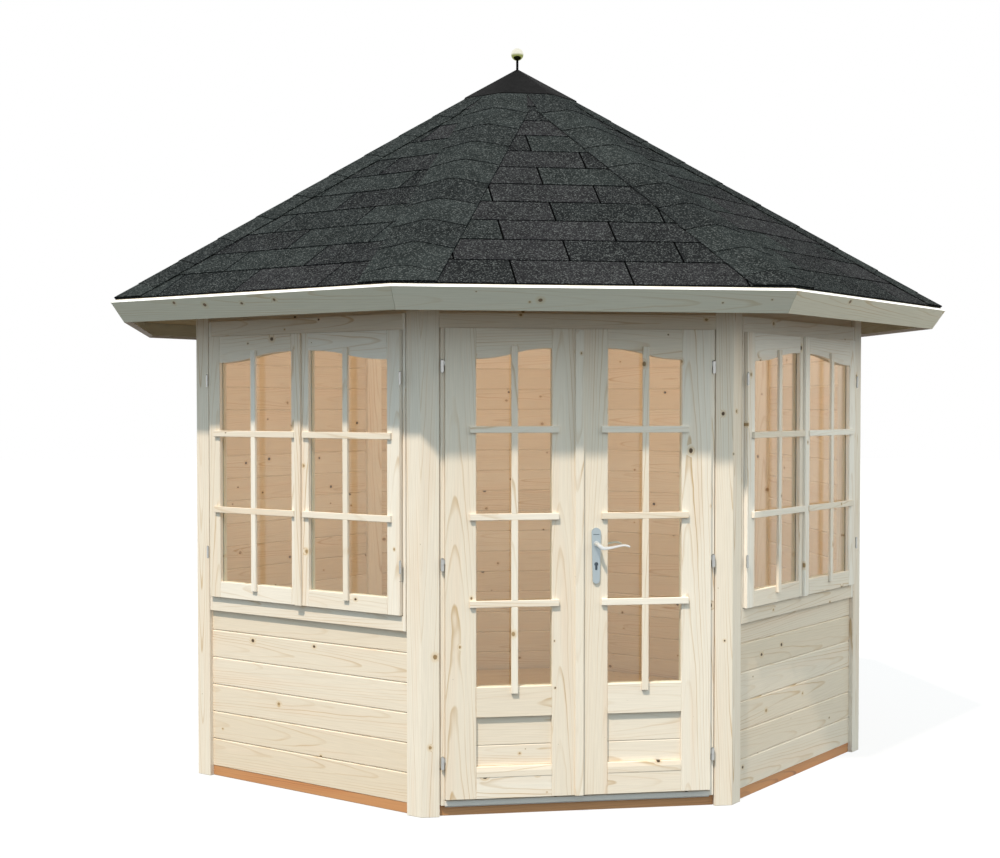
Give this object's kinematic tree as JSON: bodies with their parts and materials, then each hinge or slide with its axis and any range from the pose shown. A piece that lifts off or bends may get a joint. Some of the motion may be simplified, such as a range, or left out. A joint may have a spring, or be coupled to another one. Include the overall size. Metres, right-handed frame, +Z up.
{
  "type": "octagonal garden gazebo",
  "caption": "Octagonal timber garden gazebo with board walls, glazed double doors that swing outward, glazed window walls beside them and a steep shingled roof with a ball finial.",
  "frame": {"origin": "on the ground at the centre of the octagonal plan", "axes": "+Z up, -Y out of the doors, +X to the right seen from the front"},
  "size_m": [3.688, 3.688, 3.3178],
  "materials": {
    "spruce": "planed, untreated",
    "treated_timber": "pressure impregnated, brown",
    "floor_boards": "planed, untreated",
    "glass": "clear float",
    "felt_shingle": "mineral granules on bitumen felt",
    "black_sheet": "coated sheet, satin black",
    "brass": "polished",
    "zinc_steel": "zinc plated",
    "handle_metal": "silver anodised"
  },
  "bodies": {
    "house": {"base_bearers": "treated_timber", "floor_joists": "treated_timber", "floor_deck": "floor_boards", "corner_posts": "spruce", "left_wall": "spruce", "back_left_wall": "spruce", "back_wall": "spruce", "back_right_wall": "spruce", "right_wall": "spruce", "left_window_wall": "spruce", "right_window_wall": "spruce", "left_window_frame": "spruce", "right_window_frame": "spruce", "left_window_left_sash": "spruce", "left_window_right_sash": "spruce", "right_window_left_sash": "spruce", "right_window_right_sash": "spruce", "left_window_glass": "glass", "right_window_glass": "glass", "header_boards": "spruce", "wall_plates": "spruce", "window_cover_strips": "spruce", "left_window_bars": "spruce", "right_window_bars": "spruce", "door_left_jamb": "spruce", "door_right_jamb": "spruce", "door_head": "spruce", "door_threshold": "spruce", "door_hinge_pins": "zinc_steel", "roof_panels": "spruce", "hip_rafters": "spruce", "king_block": "spruce", "fascia_boards": "spruce", "roof_shingles": "felt_shingle", "roof_cap": "black_sheet", "finial": "brass"},
    "left_door": {"left_door_leaf": "spruce", "left_door_glass": "glass", "left_door_bars": "spruce", "left_door_panel": "spruce", "door_cover_strip": "spruce", "left_door_hinges": "zinc_steel"},
    "right_door": {"right_door_leaf": "spruce", "right_door_glass": "glass", "right_door_bars": "spruce", "right_door_panel": "spruce", "right_door_hinges": "zinc_steel", "handle_plates": "handle_metal"},
    "handle": {"door_handle": "handle_metal"}
  },
  "joints": [
    {"name": "left_door_hinge", "type": "hinge", "parent": "house", "child": "left_door", "pos_m": [-0.5385, -1.51, 0.96], "axis": [0, 0, -1], "range_deg": [0, 170]},
    {"name": "right_door_hinge", "type": "hinge", "parent": "house", "child": "right_door", "pos_m": [0.5385, -1.51, 0.96], "axis": [0, 0, 1], "range_deg": [0, 170]},
    {"name": "handle_turn", "type": "hinge", "parent": "right_door", "child": "handle", "pos_m": [0.063, -1.516, 1.055], "axis": [0, 1, 0], "range_deg": [0, 45], "stiffness_Nm_per_rad": 1, "springref_deg": -28.65}
  ]
}
